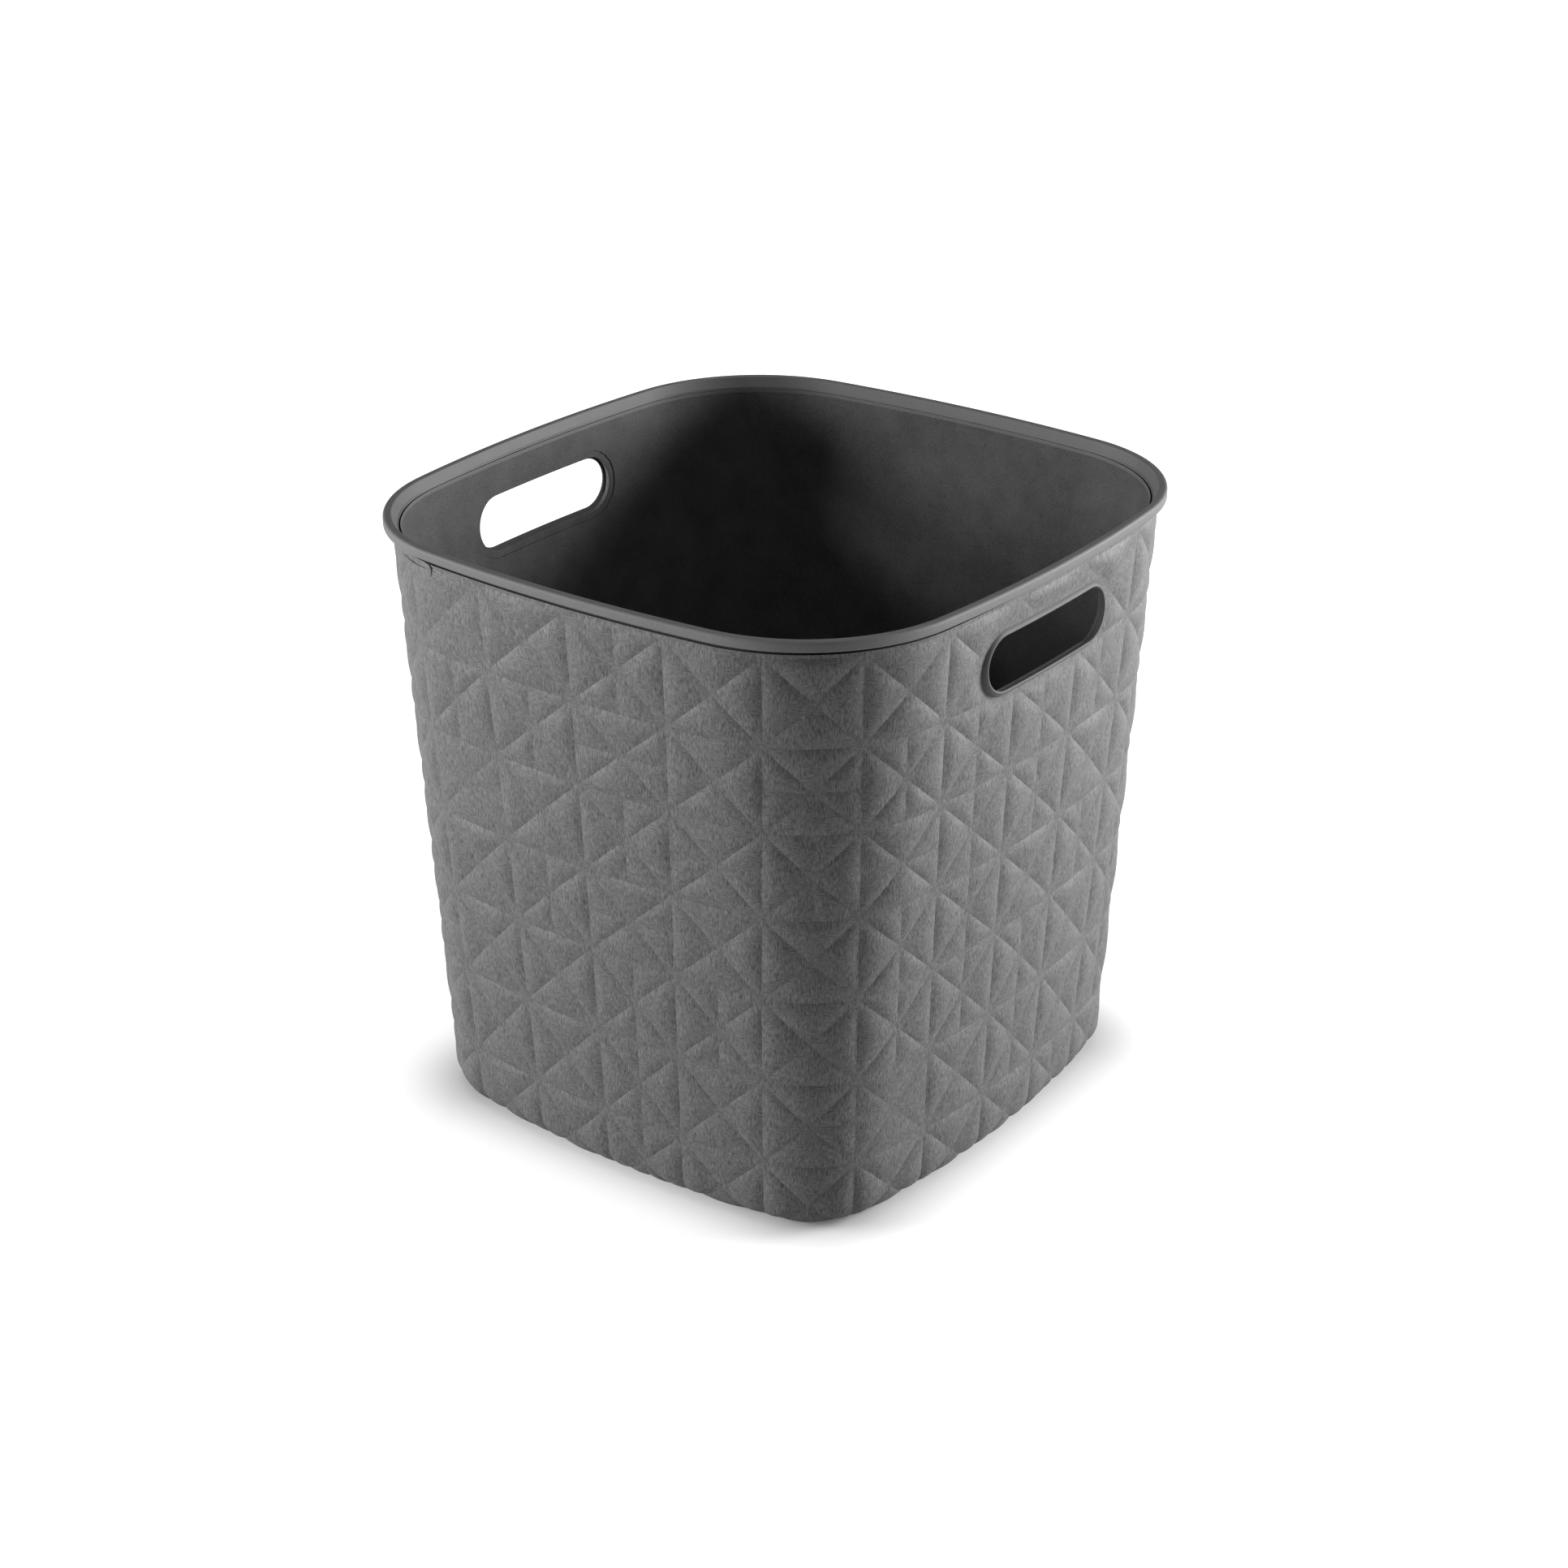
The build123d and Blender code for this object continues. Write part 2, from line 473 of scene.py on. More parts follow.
def finish_piece(piece, material, nodes, crease=None):
    """Gives the piece its finish and its place in the frame."""
    if crease is not None:
        piece.data.set_sharp_from_angle(angle=math.radians(crease))
    piece.data.materials.clear()
    piece.data.materials.append(material)
    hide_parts(*nodes)
    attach(piece, "root")


def stadium(margin, steps):
    """Outline of the hand slot, margin larger, as (y, z) points anticlockwise seen from +X."""
    s = bpy.context.scene.slot_sizes
    middle = (FRAME_LOW.z + FRAME_HIGH.z) / 2
    radius = s.tall / 2 + margin
    reach = (s.across - s.tall) / 2
    turn = np.linspace(-math.pi / 2, math.pi / 2, steps + 1)
    end = np.column_stack([reach + radius * np.cos(turn), radius * np.sin(turn)])
    straight = np.linspace(reach, -reach, steps + 2)[1:-1]
    over = np.column_stack([straight, np.full(steps, radius)])
    half = np.concatenate([end, over])
    loop = np.concatenate([half, -half])
    return loop + (0, middle)


def slot_nearness(points, slot):
    """1 at the outer foot of a slot's bead, falling smoothly to 0 across the calm zone."""
    middle = (FRAME_LOW.z + FRAME_HIGH.z) / 2
    reach = (slot.across - slot.tall) / 2
    beyond = np.maximum(np.abs(points[:, 1]) - reach, 0)
    outside = np.hypot(beyond, points[:, 2] - middle) - slot.tall / 2 - slot.bead
    t = np.clip(1 - outside / slot.calm, 0, 1)
    on_slot_wall = np.abs(points[:, 0]) > np.abs(points[:, 1]) * 0.9
    return t * t * (3 - 2 * t) * on_slot_wall


def cut_slots(piece, margin):
    """Cuts both hand slots, margin larger all round, through the piece."""
    outline = stadium(margin, 12)
    reach = RIM_HIGH.x * 1.5
    rings = [np.column_stack([np.full(len(outline), x), outline]) for x in (-reach, reach)]
    middle = outline.mean(0)
    poles = [(-reach, *middle), (reach, *middle)]
    bar = add_piece("slot_bar", ring_mesh("slot_bar", rings, poles=poles))
    cut = piece.modifiers.new("slots", "BOOLEAN")
    cut.operation = "DIFFERENCE"
    cut.solver = "MANIFOLD"
    cut.object = bar
    settle(piece)
    bpy.data.objects.remove(bar)


# ---------------------------------------------------------------- finishes
MIX_FACTOR, MIX_FIRST, MIX_SECOND, MIX_RESULT = 0, 6, 7, 2      # a Mix node's colour sockets


def new_material(name):
    """A node material with an empty tree."""
    material = bpy.data.materials.new(name)
    material.use_nodes = True
    return material, Tree(material.node_tree)


def close_material(tree, **sockets):
    """Principled shader with these sockets, and the output."""
    named = {k.replace("_", " ").title().replace("Ior", "IOR"): v for k, v in sockets.items()}
    shader = tree.make("ShaderNodeBsdfPrincipled", {}, named)
    tree.make("ShaderNodeOutputMaterial", {}, {"Surface": shader})


def tinted(tree, base, factor):
    """The base colour times a factor that varies over the surface."""
    grey = tree.make("ShaderNodeCombineColor", {}, {0: factor, 1: factor, 2: factor})
    settings = {"data_type": "RGBA", "blend_type": "MULTIPLY"}
    colours = {MIX_FACTOR: 1.0, MIX_FIRST: (*base, 1.0), MIX_SECOND: grey}
    return tree.make("ShaderNodeMix", settings, colours, output=MIX_RESULT)


def linen_finish():
    """Moulded linen: fine upright threads, patches of level ones, and small pits."""
    colours = bpy.context.scene.bin_colours
    material, tree = new_material("linen_grain")
    place = tree.make("ShaderNodeUVMap", {"uv_map": "wall"})
    split = {"Vector": place}
    u = tree.make("ShaderNodeSeparateXYZ", {}, split, "X") / MM
    v = tree.make("ShaderNodeSeparateXYZ", {}, split, "Y") / MM

    def threads(wide, tall, seed, detail=1.0):
        at = tree.make("ShaderNodeCombineXYZ", {}, {"X": u / wide, "Y": v / tall, "Z": seed})
        return tree.make(
            "ShaderNodeTexNoise", {}, {"Vector": at, "Scale": 1.0, "Detail": detail}
        )

    upright = threads(0.5, 2.2, 1.3) * 0.85 + threads(0.9, 4.0, 4.7) * 0.15
    level = threads(2.2, 0.5, 8.1)
    patch = threads(7.0, 5.0, 12.9).between(0.5, 0.6)
    weave = upright + (level - upright) * patch * 0.75
    pits = threads(0.45, 0.45, 21.7).between(0.30, 0.45)
    cloudy = threads(30.0, 30.0, 31.0, 2.0)
    half_side = SIDE_CELLS / 2
    cell = u / CELL_MM - half_side
    seam = 1 - cell.maths("PINGPONG", cell, half_side).between(0.0, 0.012)
    factor = (weave - 0.5) * 2.6 + 1.0 - (1 - pits) * 0.3 + (cloudy - 0.5) * 0.08
    height = weave + pits * 0.25 - seam * 0.6
    bump = tree.make(
        "ShaderNodeBump", {}, {"Strength": 0.5, "Distance": 0.16 * MM, "Height": height}
    )
    close_material(
        tree,
        base_color=tinted(tree, tuple(colours.shell), factor - seam * 0.10),
        roughness=0.62 - (weave - 0.5) * 0.2,
        specular_ior_level=0.35,
        normal=bump,
    )
    return material


def satin_finish(name, base, rough, mottle, grain):
    """Smooth moulded plastic with faint flow mottling and a fine grain."""
    material, tree = new_material(name)
    place = tree.make("ShaderNodeTexCoord", {}, {}, "Object")

    def noise(size, detail):
        return tree.make(
            "ShaderNodeTexNoise",
            {},
            {"Vector": place, "Scale": 1.0 / (size * MM), "Detail": detail},
        )

    clouds = noise(14.0, 3.0)
    specks = noise(0.45, 1.0)
    factor = 1.0 + (clouds - 0.5) * mottle + (specks - 0.5) * grain
    bump = tree.make(
        "ShaderNodeBump", {}, {"Strength": 0.3, "Distance": 0.12 * MM, "Height": specks}
    )
    close_material(
        tree,
        base_color=tinted(tree, base, factor),
        roughness=rough + (clouds - 0.5) * 0.12,
        specular_ior_level=0.25,
        normal=bump,
    )
    return material


# ---------------------------------------------------------------- operators
def wall_profile(steps):
    """The quilted face from the rim to the foot: rows of (z, inset, row position)."""
    s = bpy.context.scene.bin_sizes
    rows = [(s.shell_top, 0.0, 0.0)]
    lines = [z * MM for z in ROW_LINES_MM]
    for i, (high, low) in enumerate(zip(lines, lines[1:])):
        for k in range(steps):
            rows.append((high + (low - high) * k / steps, 0.0, i + k / steps))
    straight = lines[-1] - s.base_round
    run = straight + s.base_round * math.pi / 2
    for k in range(steps + 1):
        along = run * k / steps
        place = len(lines) - 1 + k / steps
        if along <= straight:
            rows.append((lines[-1] - along, 0.0, place))
        else:
            turn = (along - straight) / s.base_round
            drop, inset = math.sin(turn), 1 - math.cos(turn)
            rows.append((s.base_round * (1 - drop), s.base_round * inset, place))
    return rows


def column_shares(z, steps):
    """Where the mesh columns stand at height z, as shares of the outline, and in cells."""
    q = bpy.context.scene.quilt
    cells = FIRST_CELL - 0.5 + np.arange(COLUMNS * steps) / steps
    none, full = (z_mm * MM for z_mm in WIDENING_MM)
    amount = q.widening * min(max((z - none) / (full - none), 0), 1)
    wave = 2 * math.pi / SIDE_CELLS
    moved = cells + q.turn + amount * np.sin(wave * cells) / wave
    return moved / COLUMNS, cells


def quilt_tree(material):
    """Geometry nodes that raise the facets of the quilting."""
    group = bpy.data.node_groups.new("quilted_relief", "GeometryNodeTree")
    face = group.interface
    face.new_socket("Geometry", in_out="INPUT", socket_type="NodeSocketGeometry")
    for name in ("Relief", "Groove Depth", "Halved Share"):
        face.new_socket(name, in_out="INPUT", socket_type="NodeSocketFloat")
    face.new_socket("Finish", in_out="INPUT", socket_type="NodeSocketMaterial")
    face.new_socket("Geometry", in_out="OUTPUT", socket_type="NodeSocketGeometry")
    tree = Tree(group)
    start = tree.make("NodeGroupInput")
    names = start.socket.node.outputs

    def given(name):
        return Wire(tree, names[name])

    def stored(name, kind="FLOAT"):
        return tree.make("GeometryNodeInputNamedAttribute", {"data_type": kind}, {"Name": name})

    across, up = abs(stored("across")), abs(stored("up"))
    reach, side = across.larger(up), across.smaller(up)
    upper = up > across
    halved = stored("level_line") + (stored("upright_line") - stored("level_line")) * upper
    inwards = FACET_CROWN * (1 - 2 * reach)
    plain = inwards * (reach * reach - side * side)
    split = inwards * 4 * side * (reach - side) * given("Halved Share")
    dome = plain + (split - plain) * halved
    pillow = dome.maths("POWER", dome.larger(0), FACET_FULLNESS) * stored("swell")
    lift = given("Relief") * pillow - given("Groove Depth") - stored("dip")
    shift = tree.make(
        "ShaderNodeVectorMath",
        {"operation": "SCALE"},
        {"Vector": stored("outward", "FLOAT_VECTOR"), "Scale": lift},
    )
    moved = tree.make(
        "GeometryNodeSetPosition", {}, {"Geometry": given("Geometry"), "Offset": shift}
    )
    real = tree.make("GeometryNodeRealizeInstances", {}, {"Geometry": moved})
    finished = tree.make(
        "GeometryNodeSetMaterial", {}, {"Geometry": real, "Material": given("Finish")}
    )
    tree.make("NodeGroupOutput", {}, {"Geometry": finished})
    return group


def set_inputs(modifier, values):
    """Sets a geometry nodes modifier's inputs by their sockets' identifiers."""
    for item in modifier.node_group.interface.items_tree:
        if item.in_out == "INPUT" and item.name in values:
            modifier[item.identifier] = values[item.name]


class BIN_OT_shell(bpy.types.Operator):
    """Quilted shell with its turned-under foot"""

    bl_idname = "bin.shell"
    bl_label = "Quilted shell"

    def execute(self, context):
        s, q = context.scene.bin_sizes, context.scene.quilt
        rows = wall_profile(q.steps)
        rings = [ring(wall_loop(z, d), z, column_shares(z, q.steps)[0]) for z, d, _ in rows]
        grid = np.array(rings)
        ahead = np.roll(grid, -1, axis=1) - np.roll(grid, 1, axis=1)
        down = np.gradient(grid, axis=0)
        outward = np.cross(ahead, down)
        outward /= np.linalg.norm(outward, axis=2, keepdims=True)
        heights = grid[:, :, 2]
        fade = np.clip(heights / (FOOT_FADE_MM * MM), 0, 1)
        outward *= (fade * fade * (3 - 2 * fade))[:, :, None]

        foot_inset = s.base_round + s.foot
        inner_round = s.base_round - s.shell
        floor_share, _ = column_shares(0, q.steps)
        low = [(0.0, foot_inset), (s.shell, foot_inset)]
        turn = np.linspace(0, math.pi / 2, 7)
        low += [
            (s.shell + inner_round * (1 - math.cos(a)), s.base_round - inner_round * math.sin(a))
            for a in turn
        ]
        edge = s.shell_top - s.shell_bevel
        low += [(edge * k / 6, s.shell) for k in (1, 2, 3, 4, 5, 6)]
        inner = [ring(wall_loop(z, d), z, column_shares(z, q.steps)[0]) for z, d in low]
        points = np.concatenate([grid.reshape(-1, 3)] + inner)
        count = len(rows) + len(low)
        columns = COLUMNS * q.steps

        cells = column_shares(0, q.steps)[1]
        column_cell = np.floor(cells + 0.5 + 1e-6).astype(int)
        across = cells - column_cell
        up = np.zeros(count)
        row_cell = np.zeros(count, int)
        for i, (_, _, place) in enumerate(rows):
            row_cell[i] = min(int(place + 1e-6), len(QUILT_ROWS) - 1)
            up[i] = 0.5 - (place - row_cell[i])
        up[len(rows):] = -0.5
        up[0] = 0.5
        kinds = [[QUILT_ROWS[r][c % COLUMNS] for c in column_cell] for r in row_cell]
        flags = np.array([[k.lower() == "v" for k in line] for line in kinds], float)
        levels = np.array([[k.lower() == "h" for k in line] for line in kinds], float)
        swell = np.array([[SHALLOW if k.isupper() else 1.0 for k in line] for line in kinds])
        calm = slot_nearness(points, context.scene.slot_sizes).reshape(count, columns)
        swell *= 1 - calm

        faces = band_faces(count, columns, True)
        quad_up = (up[faces[:, 0] // columns] + up[faces[:, 3] // columns]) / 2
        quad_across = across[faces[:, 0] % columns] + 0.5 / q.steps
        leaning = (quad_up * quad_across) > 0
        first = np.where(leaning[:, None], faces[:, [0, 1, 3]], faces[:, [0, 1, 2]])
        second = np.where(leaning[:, None], faces[:, [1, 2, 3]], faces[:, [0, 2, 3]])
        triangles = np.stack([first, second], axis=1).reshape(-1, 3)
        mesh = mesh_of("shell", points, triangles)

        def keep(name, kind, values):
            layer = mesh.attributes.new(name, kind, "POINT")
            field = "vector" if kind == "FLOAT_VECTOR" else "value"
            layer.data.foreach_set(field, np.ascontiguousarray(values, np.float32).ravel())

        full = np.zeros((count, columns, 3))
        full[: len(rows)] = outward
        keep("across", "FLOAT", np.tile(across, (count, 1)))
        keep("up", "FLOAT", np.tile(up[:, None], (1, columns)))
        keep("upright_line", "FLOAT", flags)
        keep("level_line", "FLOAT", levels)
        keep("swell", "FLOAT", swell)
        keep("dip", "FLOAT", calm * context.scene.slot_sizes.calm_dip)
        keep("outward", "FLOAT_VECTOR", full)
        self.lay_grain(mesh, rows, cells, triangles, columns, count)

        piece = add_piece("shell_quilt", mesh)
        material = linen_finish()
        raise_facets = piece.modifiers.new("relief", "NODES")
        raise_facets.node_group = quilt_tree(material)
        set_inputs(
            raise_facets,
            {
                "Relief": q.relief,
                "Groove Depth": q.groove,
                "Halved Share": q.halved,
                "Finish": material,
            },
        )
        settle(piece)
        cut_slots(piece, context.scene.slot_sizes.sleeve)
        self.mark_creases(piece.data)
        finish_piece(piece, material, ["quilted_shell"])
        return {"FINISHED"}

    def lay_grain(self, mesh, rows, cells, triangles, columns, count):
        """UV map in metres: along the wall, and up its profile."""
        z = np.array([r[0] for r in rows])
        inset = np.array([r[1] for r in rows])
        run = np.concatenate([[0], np.cumsum(np.hypot(np.diff(z), np.diff(inset)))])
        height = np.full(count, -run[-1])
        height[: len(rows)] = -run
        corner_column = triangles % columns
        seam = (corner_column.max(1) - corner_column.min(1)) > columns / 2
        u = cells[corner_column]
        u = np.where(seam[:, None] & (corner_column < columns / 2), u + COLUMNS, u)
        v = height[triangles // columns]
        layer = mesh.uv_layers.new(name="wall")
        pairs = np.stack([u * CELL_MM * MM, v], axis=2).reshape(-1)
        layer.data.foreach_set("uv", pairs.astype(np.float32))

    def mark_creases(self, mesh):
        """Sharp edges along the cell borders, the diagonals and the mid-lines."""

        def read(name):
            values = np.zeros(len(mesh.vertices), np.float32)
            mesh.attributes[name].data.foreach_get("value", values)
            return values

        across, up = np.abs(read("across")), np.abs(read("up"))
        upright, level = read("upright_line"), read("level_line")
        ends = np.zeros(len(mesh.edges) * 2, np.int32)
        mesh.edges.foreach_get("vertices", ends)
        a, b = ends.reshape(-1, 2).T
        near = 1e-4

        def both(mask):
            return mask[a] & mask[b]

        border_u, border_v = np.abs(across - 0.5) < near, np.abs(up - 0.5) < near
        diagonal = np.abs(across - up) < near
        mid_u, mid_v = across < near, up < near
        cuts_u = np.maximum(upright[a], upright[b]) > 0.5
        cuts_v = np.maximum(level[a], level[b]) > 0.5
        sharp = both(border_u) | both(border_v) | both(diagonal)
        sharp |= (both(mid_u) & cuts_u) | (both(mid_v) & cuts_v)
        layer = mesh.attributes.get("sharp_edge")
        if layer is None:
            layer = mesh.attributes.new("sharp_edge", "BOOLEAN", "EDGE")
        layer.data.foreach_set("value", sharp)
        mesh.update()


class BIN_OT_tub(bpy.types.Operator):
    """Smooth inner tub with its floor"""

    bl_idname = "bin.tub"
    bl_label = "Inner tub"

    def execute(self, context):
        s = context.scene.bin_sizes
        shares = np.arange(COLUMNS * 12) / (COLUMNS * 12)
        clearance = 0.04 * MM
        inner, outer = s.shell + s.tub, s.shell + clearance
        floor = s.shell + s.tub_floor
        inner_round = s.base_round - inner
        outer_round = s.base_round - outer
        lifts = np.linspace(0, math.pi / 2, 9)
        up = [(floor, s.base_round)]
        up += [
            (floor + inner_round * (1 - math.cos(a)), s.base_round - inner_round * math.sin(a))
            for a in lifts[1:]
        ]
        spread = np.linspace(0, 1, 9)[1:]
        start = floor + inner_round
        up += [(start + (s.wall_top - start) * k, inner) for k in spread]
        step = s.shell_top - 2 * s.shell_bevel
        down = [(s.wall_top, s.gap_back), (step, s.gap_back)]
        step -= s.gap_back - outer
        down += [(step - (step - outer - outer_round) * k, outer) for k in np.linspace(0, 1, 9)]
        down += [
            (outer + outer_round * (1 - math.sin(a)), s.base_round - outer_round * math.cos(a))
            for a in lifts[1:]
        ]
        rings = [ring(wall_loop(z, d), z, shares) for z, d in up + down]
        shrink = (0.15, 0.35, 0.55, 0.75, 0.9)
        first, last = rings[0], rings[-1]
        flat_in = [first * (k, k, 1) for k in shrink]
        flat_out = [last * (k, k, 1) for k in shrink[::-1]]
        poles = [(0, 0, floor), (0, 0, last[0][2])]
        mesh = ring_mesh("tub", flat_in + rings + flat_out, poles=poles)
        piece = add_piece("tub_liner", mesh)
        slot = context.scene.slot_sizes
        cut_slots(piece, slot.sleeve + slot.trim + 0.05 * MM)
        colours = context.scene.bin_colours
        material = satin_finish("smooth_tub", tuple(colours.tub), 0.75, 0.9, 1.6)
        finish_piece(piece, material, ["inner_tub"], crease=32)
        return {"FINISHED"}


class BIN_OT_rim(bpy.types.Operator):
    """Rolled rim with its overhanging lip and flared inside"""

    bl_idname = "bin.rim"
    bl_label = "Rim"

    def execute(self, context):
        s = context.scene.bin_sizes
        top = RIM_HIGH.z
        under = top - s.rim_lip
        shares = np.arange(COLUMNS * 16) / (COLUMNS * 16)
        inner, outer, lower = 0.6 * MM, s.rim_round, 0.5 * MM     # the lip's three roundings
        profile = rounding(s.rim_top - inner, top - inner, inner, 180, 90, 5)
        profile += rounding(outer, top - outer, outer, 90, 0, 8)
        profile += rounding(lower, under + lower, lower, 0, -90, 4)
        rings = [ring(rim_loop(d), z, shares) for d, z in profile]
        overlap = 0.2 * MM
        seat = wall_loop(s.wall_top, s.gap_back - overlap)
        cover = s.shell + s.tub + 0.15 * MM
        low = s.wall_top - s.rim_flare
        rings.append(ring(seat, under, shares))
        rings.append(ring(seat, s.wall_top, shares))
        rings.append(ring(wall_loop(s.wall_top, cover - 0.05 * MM), s.wall_top, shares))
        rings.append(ring(wall_loop(low, cover), low, shares))
        mesh = ring_mesh("rim", rings, closed=True)
        piece = add_piece("rim_roll", mesh)
        colours = context.scene.bin_colours
        material = satin_finish("satin_rim", tuple(colours.rim), 0.62, 0.3, 0.5)
        finish_piece(piece, material, ["rim_band"], crease=40)
        return {"FINISHED"}


def sweep_slot(name, profile, mirrored):
    """Ring round a hand slot. The profile holds (margin, depth, upright).

    The depth is taken from the wall's face, or, where upright is true, from an upright
    face that follows the wall's bow at mid slot.
    """
    steps = 20
    middle = (FRAME_LOW.z + FRAME_HIGH.z) / 2
    rings = []
    for margin, depth, upright in profile:
        loop = stadium(margin, steps)
        height = middle if upright else loop[:, 1]
        rings.append(np.column_stack([wall_x(loop[:, 0], height) - depth, loop]))
    mesh = ring_mesh(name, rings, closed=True)
    if mirrored:
        mesh.transform(Matrix.Diagonal((-1, 1, 1, 1)))
        mesh.flip_normals()
    return mesh


class BIN_OT_beads(bpy.types.Operator):
    """Bead and sleeve of both hand slots"""

    bl_idname = "bin.beads"
    bl_label = "Slot beads"

    def execute(self, context):
        s, slot = context.scene.bin_sizes, context.scene.slot_sizes
        front = -slot.bead_proud
        crest, flare = 0.7 * MM, 0.4 * MM
        arc = np.radians(np.linspace(0, 90, 6))
        profile = [(0.1 * MM, slot.lip_back, False)]
        profile += [(-slot.lip + flare, front + 1.2 * MM, True)]
        profile += [
            (-slot.lip + crest * (1 - math.cos(a)), front + crest * (1 - math.sin(a)), True)
            for a in arc
        ]
        width = slot.bead + slot.lip - crest
        profile += [
            (-slot.lip + crest + width * share, front + 1.9 * MM * share**1.5, True)
            for share in (0.2, 0.4, 0.6, 0.8)
        ]
        profile += [(slot.bead, s.shell * 0.95, False), (slot.sleeve, s.shell, False)]
        profile += [(slot.sleeve, slot.lip_back, False)]
        colours = context.scene.bin_colours
        material = satin_finish("satin_bead", tuple(colours.bead), 0.62, 0.15, 0.3)
        for side, mirrored in (("right", False), ("left", True)):
            mesh = sweep_slot("bead", profile[::-1], mirrored)
            piece = add_piece(f"bead_{side}", mesh)
            finish_piece(piece, material, [f"{side}_handle_frame"], crease=50)
        return {"FINISHED"}


class BIN_OT_trims(bpy.types.Operator):
    """Flat trims round both hand slots, inside the bin"""

    bl_idname = "bin.trims"
    bl_label = "Slot trims"

    def execute(self, context):
        s, slot = context.scene.bin_sizes, context.scene.slot_sizes
        inside, outside = s.shell + s.tub - slot.trim_step, s.shell + 0.1 * MM
        edge, gap = 0.2 * MM, 0.04 * MM
        high = slot.sleeve + slot.trim
        profile = [
            (0.0, inside - edge, False),
            (0.0, slot.lip_back + gap, False),
            (slot.sleeve - gap, slot.lip_back + gap, False),
            (slot.sleeve - gap, outside, False),
            (high, outside, False),
            (high, inside - edge, False),
            (high - edge, inside, False),
            (edge, inside, False),
        ]
        colours = context.scene.bin_colours
        material = satin_finish("smooth_trim", tuple(colours.tub), 0.75, 0.9, 1.6)
        for side, mirrored in (("right", False), ("left", True)):
            piece = add_piece(f"trim_{side}", sweep_slot("trim", profile[::-1], mirrored))
            finish_piece(piece, material, [f"{side}_handle_trim"], crease=30)
        return {"FINISHED"}


class BIN_OT_plaque(bpy.types.Operator):
    """Small blank plaque below the rim"""

    bl_idname = "bin.plaque"
    bl_label = "Blank plaque"

    def execute(self, context):
        slot = context.scene.slot_sizes
        middle_x = (slot.plaque_left + slot.plaque_right) / 2
        middle_z = (slot.plaque_low + slot.plaque_high) / 2
        half_x = (slot.plaque_right - slot.plaque_left) / 2
        half_z = (slot.plaque_high - slot.plaque_low) / 2
        corner, sunk, edge = 1.8 * MM, 0.9 * MM, 0.25 * MM
        turn = np.radians(np.linspace(0, 90, 7))

        def plate(inset, proud):
            r = max(corner - inset, 0.2 * MM)
            x = half_x - inset - r + r * np.cos(turn)
            z = half_z - inset - r + r * np.sin(turn)
            first = np.column_stack([x, z])
            upper = np.concatenate([first, (first * (-1, 1))[::-1]])
            loop = np.concatenate([upper, -upper]) + (middle_x, middle_z)
            y = [-(wall_y(*place) + proud) for place in loop]
            return np.column_stack([loop[:, 0], y, loop[:, 1]])

        proud = slot.plaque_proud
        eased = edge * 0.3
        rings = [plate(0, -sunk), plate(0, proud - edge), plate(eased, proud - eased)]
        rings += [plate(inset, proud) for inset in (edge, 1.2 * MM, 2.4 * MM)]
        wall = wall_y(middle_x, middle_z)
        back, face = ((middle_x, -(wall + out), middle_z) for out in (-sunk, proud))
        mesh = ring_mesh("plaque", rings, poles=[back, face])
        piece = add_piece("plaque_blank", mesh)
        layer = mesh.uv_layers.new(name="wall")
        for corner in mesh.loops:
            x, _, z = mesh.vertices[corner.vertex_index].co
            layer.data[corner.index].uv = (x, z)
        finish_piece(piece, linen_finish(), ["blank_plaque"], crease=30)
        return {"FINISHED"}


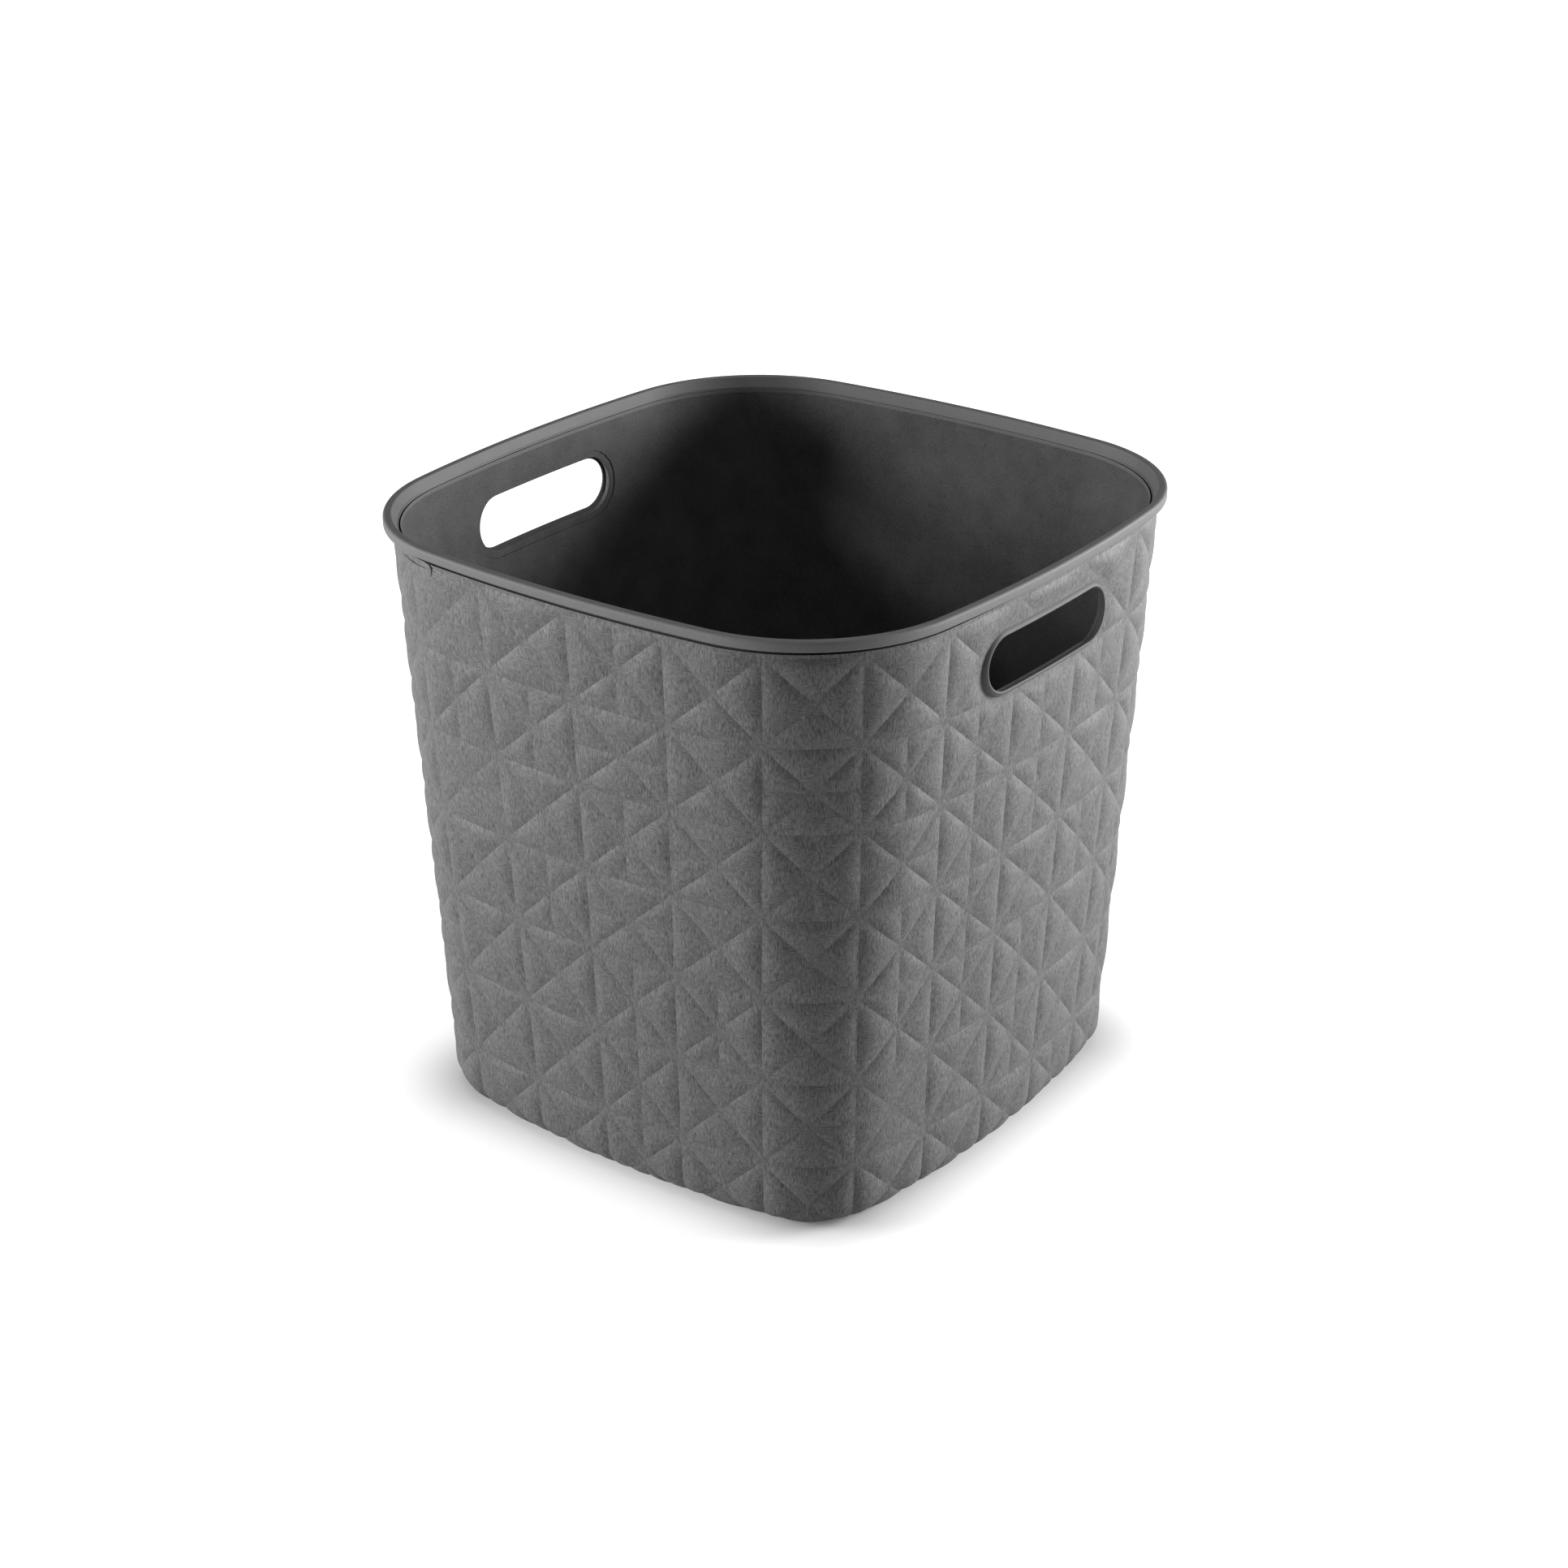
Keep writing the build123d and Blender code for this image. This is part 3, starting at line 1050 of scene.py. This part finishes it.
class BIN_OT_stage(bpy.types.Operator):
    """Floor, lights and camera"""

    bl_idname = "bin.stage"
    bl_label = "Stage"

    def execute(self, context):
        g = context.scene.stage
        self.lay_floor(context)
        for name, watts, azimuth, elevation, size in (
            ("left", g.left, -48, 11, (0.8, 0.8)),
            ("right", g.right, 138, 13, (0.8, 0.9)),
            ("high_right", g.high_right, 110, 40, (1.2, 1.2)),
            ("top", g.top, 0, 85, (1.4, 1.4)),
        ):
            self.softbox(name, watts, azimuth, elevation, size)
        world = bpy.data.worlds.new("even_light")
        world.use_nodes = True
        context.scene.world = world
        tree = Tree(world.node_tree)
        even = tree.make(
            "ShaderNodeBackground", {}, {"Color": (1, 1, 1, 1), "Strength": g.ambient}
        )
        tree.make("ShaderNodeOutputWorld", {}, {"Surface": even})
        self.place_camera(context)
        context.scene.view_settings.view_transform = "Standard"
        return {"FINISHED"}

    def lay_floor(self, context):
        g = context.scene.stage
        turn = np.linspace(0, 2 * math.pi, 65)[:-1]
        rings = [np.column_stack([r * np.cos(turn), r * np.sin(turn), turn * 0]) for r in (1, 9)]
        points = np.concatenate(rings + [[(0, 0, 0)]])
        faces = [f[::-1] for f in band_faces(2, 64, False)]
        faces += [(c, (c + 1) % 64, 128) for c in range(64)]
        floor = add_piece("floor", mesh_of("floor", points, faces))
        material, tree = new_material("pale_floor")
        place = tree.make("ShaderNodeTexCoord", {}, {}, "Object")
        mottle = tree.make("ShaderNodeTexNoise", {}, {"Vector": place, "Scale": 3.0})
        split = {"Vector": place}
        straight, corner = (size_mm * MM for size_mm in SHADOW_MM)
        beyond = [
            (abs(tree.make("ShaderNodeSeparateXYZ", {}, split, axis)) - straight).larger(0)
            for axis in "XY"
        ]
        square = beyond[0] * beyond[0] + beyond[1] * beyond[1]
        away = square.maths("POWER", square, 0.5) - corner
        # Floor emission: glow from 2.2 cm beyond the foot's outline, fading to nothing 3 cm
        # inside it, and the rest from 0.2 m to 1 m out. The fade paints a soft shadow round the
        # foot, on top of the shadow the lights cast; further out the floor is evenly bright.
        glow_with_painted_shadow = away.between(-0.03, 0.022) * g.glow + away.between(0.2, 1.0) * (1 - g.glow)
        close_material(
            tree,
            base_color=tinted(tree, tuple(context.scene.bin_colours.floor), mottle * 0.02 + 0.99),
            roughness=0.9,
            specular_ior_level=0.0,
            emission_color=tree.make("ShaderNodeCombineColor", {}, {0: glow_with_painted_shadow, 1: glow_with_painted_shadow, 2: glow_with_painted_shadow}),
            emission_strength=1.0,
        )
        floor.data.materials.append(material)

    def softbox(self, name, watts, azimuth, elevation, size):
        """A softbox that faces the middle of the bin."""
        light = bpy.data.lights.new(name, "AREA")
        light.shape = "RECTANGLE"
        light.size, light.size_y = size
        light.energy = watts
        box = bpy.data.objects.new(name, light)
        bpy.context.scene.collection.objects.link(box)
        level, up, away = facing(azimuth, elevation)
        middle, distance = np.array(LIGHTS_MM[0]) * MM, LIGHTS_MM[1] * MM
        box.matrix_world = turned(level, up, away, middle + away * distance)

    def place_camera(self, context):
        g = context.scene.stage
        roll = g.roll
        level, up, away = facing(g.azimuth, g.elevation)
        side = level * math.cos(roll) + up * math.sin(roll)
        head = up * math.cos(roll) - level * math.sin(roll)
        target = np.array(LOOKS_AT_MM) * MM
        camera = bpy.data.objects.new("camera", bpy.data.cameras.new("camera"))
        context.scene.collection.objects.link(camera)
        camera.data.lens = g.lens
        camera.data.sensor_width = 36
        camera.data.clip_start, camera.data.clip_end = 0.05, 50
        camera.matrix_world = turned(side, head, away, target + away * g.distance)
        context.scene.camera = camera


def facing(azimuth, elevation):
    """Level, upward and backward axes of something that looks at the bin; in degrees."""
    az, el = math.radians(azimuth), math.radians(elevation)
    away = np.array((math.sin(az) * math.cos(el), -math.cos(az) * math.cos(el), math.sin(el)))
    level = np.array((math.cos(az), math.sin(az), 0))
    return level, np.cross(away, level), away


def turned(x, y, z, place):
    """Matrix with these axes and this place."""
    return Matrix([[x[i], y[i], z[i], place[i]] for i in range(3)] + [[0, 0, 0, 1]])


class BIN_PT_pieces(bpy.types.Panel):
    """Lists the pieces and their settings"""

    bl_idname = "BIN_PT_pieces"
    bl_label = "Storage bin"
    bl_space_type = "VIEW_3D"
    bl_region_type = "UI"
    bl_category = "Bin"

    def draw(self, context):
        scene = context.scene
        for group in (scene.bin_sizes, scene.slot_sizes, scene.quilt, scene.bin_colours,
                      scene.stage):
            box = self.layout.box()
            for name in group.__annotations__:
                box.prop(group, name)
        for operator in OPERATORS:
            self.layout.operator(operator.bl_idname)


OPERATORS = (
    BIN_OT_shell,
    BIN_OT_tub,
    BIN_OT_rim,
    BIN_OT_beads,
    BIN_OT_trims,
    BIN_OT_plaque,
    BIN_OT_stage,
)
GROUPS = {
    "bin_sizes": BinSizes,
    "slot_sizes": SlotSizes,
    "quilt": QuiltSettings,
    "bin_colours": BinColours,
    "stage": StageSettings,
}


def register():
    for name, group in GROUPS.items():
        bpy.utils.register_class(group)
        setattr(bpy.types.Scene, name, bpy.props.PointerProperty(type=group))
    for kind in OPERATORS + (BIN_PT_pieces,):
        bpy.utils.register_class(kind)


def unregister():
    for kind in (BIN_PT_pieces,) + OPERATORS[::-1]:
        bpy.utils.unregister_class(kind)
    for name, group in GROUPS.items():
        delattr(bpy.types.Scene, name)
        bpy.utils.unregister_class(group)


def main():
    register()
    for operator in OPERATORS:
        family, action = operator.bl_idname.split(".")
        getattr(getattr(bpy.ops, family), action)()


if __name__ == "__main__":
    main()
